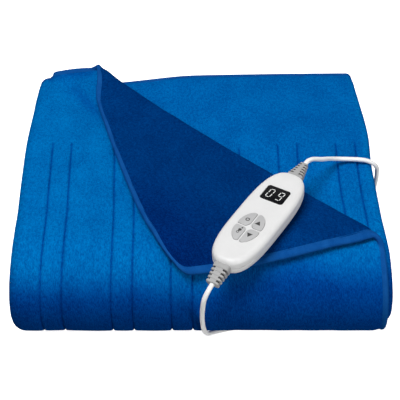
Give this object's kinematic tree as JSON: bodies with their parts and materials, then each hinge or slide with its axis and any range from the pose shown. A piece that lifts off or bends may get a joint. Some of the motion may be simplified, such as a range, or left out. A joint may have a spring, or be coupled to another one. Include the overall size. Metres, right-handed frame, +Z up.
{
  "type": "folded electric heated blanket with hand controller",
  "caption": "Plush heated throw folded into a low stack, its bound corner turned back, with a white hand controller, its leads and a plug.",
  "frame": {"origin": "on the floor under the middle of the stack and controller, leads left out", "axes": "+Z up, the stack's round front faces -Y, and the turned corner's controller lies to the front and right (+X)"},
  "size_m": [0.4353, 0.4987, 0.1568],
  "materials": {
    "plush_face": "short plush pile, bright blue, soft sheen",
    "plush_back": "short plush pile, navy blue, soft sheen",
    "binding_tape": "smooth woven tape with one line of stitching",
    "controller_white": "satin white moulded plastic",
    "display_black": "glossy black window with white numerals",
    "button_grey": "matt light grey keys with dark symbols",
    "relief_grey": "matt light grey moulded strain relief with ribs",
    "lead_white": "satin white insulation",
    "blade_metal": "bare plug blades"
  },
  "bodies": {
    "blanket": {"face_panel": "plush_face", "back_panel": "plush_back", "edge_binding": "binding_tape", "controller_base": "controller_white", "controller_cover": "controller_white", "display_window": "display_black", "relief_mains": "relief_grey", "relief_blanket": "relief_grey", "mains_lead": "lead_white", "mains_coil": "lead_white", "mains_tail": "lead_white", "plug_body": "lead_white", "plug_blade_left": "blade_metal", "plug_blade_right": "blade_metal", "blanket_lead": "lead_white", "blanket_connector": "lead_white"},
    "key_power": {"button_power": "button_grey"},
    "key_warmer": {"button_warmer": "button_grey"},
    "key_timer": {"button_timer": "button_grey"},
    "key_cooler": {"button_cooler": "button_grey"}
  },
  "joints": [
    {"name": "press_power", "type": "slide", "parent": "blanket", "child": "key_power", "axis": [0.0559, 0.0884, -0.9945], "range_m": [0, 0.0008], "stiffness_N_per_m": 400, "springref_m": -0.001},
    {"name": "press_warmer", "type": "slide", "parent": "blanket", "child": "key_warmer", "axis": [0.0559, 0.0884, -0.9945], "range_m": [0, 0.0008], "stiffness_N_per_m": 400, "springref_m": -0.001},
    {"name": "press_timer", "type": "slide", "parent": "blanket", "child": "key_timer", "axis": [0.0559, 0.0884, -0.9945], "range_m": [0, 0.0008], "stiffness_N_per_m": 400, "springref_m": -0.001},
    {"name": "press_cooler", "type": "slide", "parent": "blanket", "child": "key_cooler", "axis": [0.0559, 0.0884, -0.9945], "range_m": [0, 0.0008], "stiffness_N_per_m": 400, "springref_m": -0.001}
  ]
}
